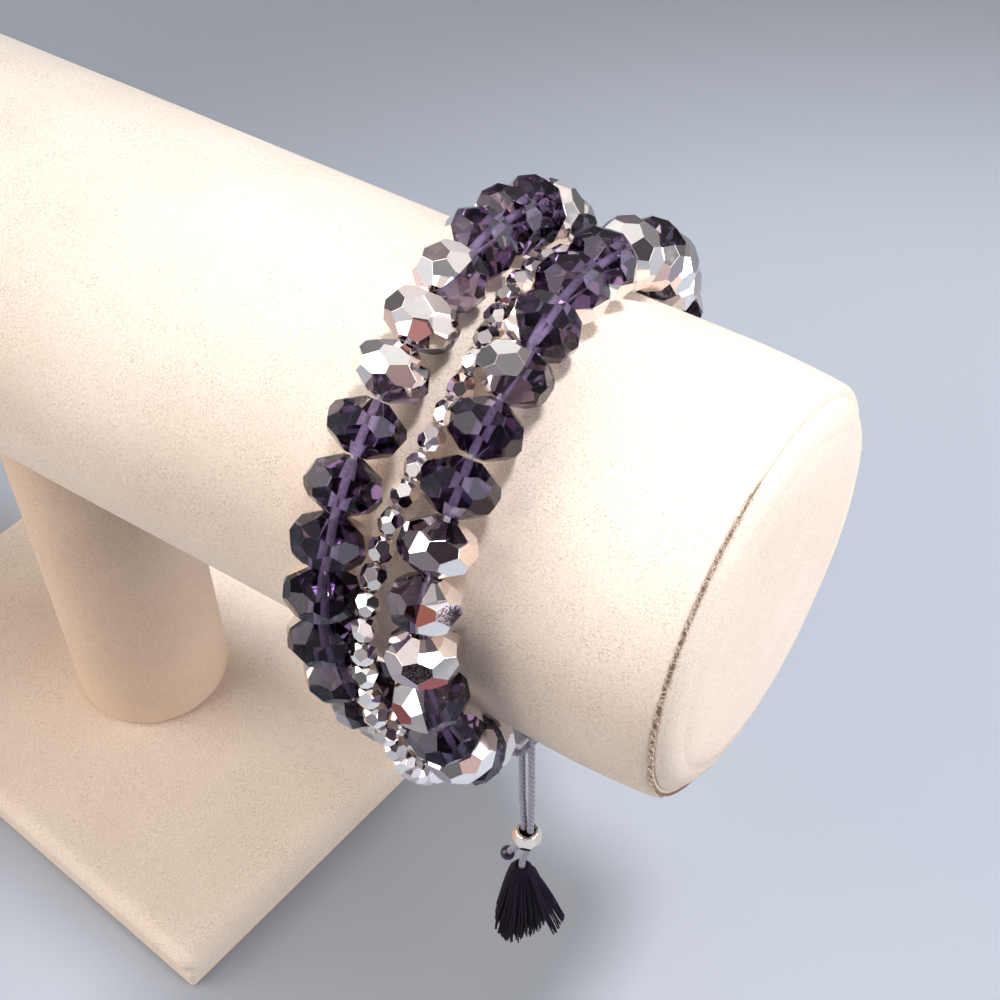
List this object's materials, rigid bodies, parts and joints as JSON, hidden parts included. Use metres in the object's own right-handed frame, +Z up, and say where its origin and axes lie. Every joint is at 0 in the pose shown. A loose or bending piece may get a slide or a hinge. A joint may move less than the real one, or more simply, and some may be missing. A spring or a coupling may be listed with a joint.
{
  "type": "crystal bracelet on display stand",
  "caption": "Bracelet of two faceted crystal strands and one small silver bead strand with a tassel, hung on a padded T-bar display stand.",
  "frame": {"origin": "on the table under the middle of the stand, at the underside of the base", "axes": "+X along the padded roll towards the end that carries the bracelet, +Z up, -Y towards the viewer"},
  "size_m": [0.21, 0.0766, 0.1264],
  "materials": {
    "velvet": "short cream velvet nap",
    "crystal": "cut crystal, half of each bead coated mirror silver",
    "silver": "bright metallic coat on cut facets",
    "thread": "clear stretch thread",
    "cord": "waxed grey cord",
    "dark_bead": "polished",
    "tassel": "silky cut thread"
  },
  "bodies": {
    "root": {"stand_base": "velvet", "stand_post": "velvet", "stand_roll": "velvet", "end_disc_right": "velvet", "end_disc_left": "velvet", "crystal_strand_left": "crystal", "crystal_strand_right": "crystal", "silver_strand": "silver", "thread_left": "thread", "thread_right": "thread", "thread_silver": "thread", "closure_knot": "cord", "tassel_cord_long": "cord", "tassel_cord_short": "cord", "slider_bead": "silver", "end_bead": "dark_bead", "tassel": "tassel"}
  },
  "joints": []
}
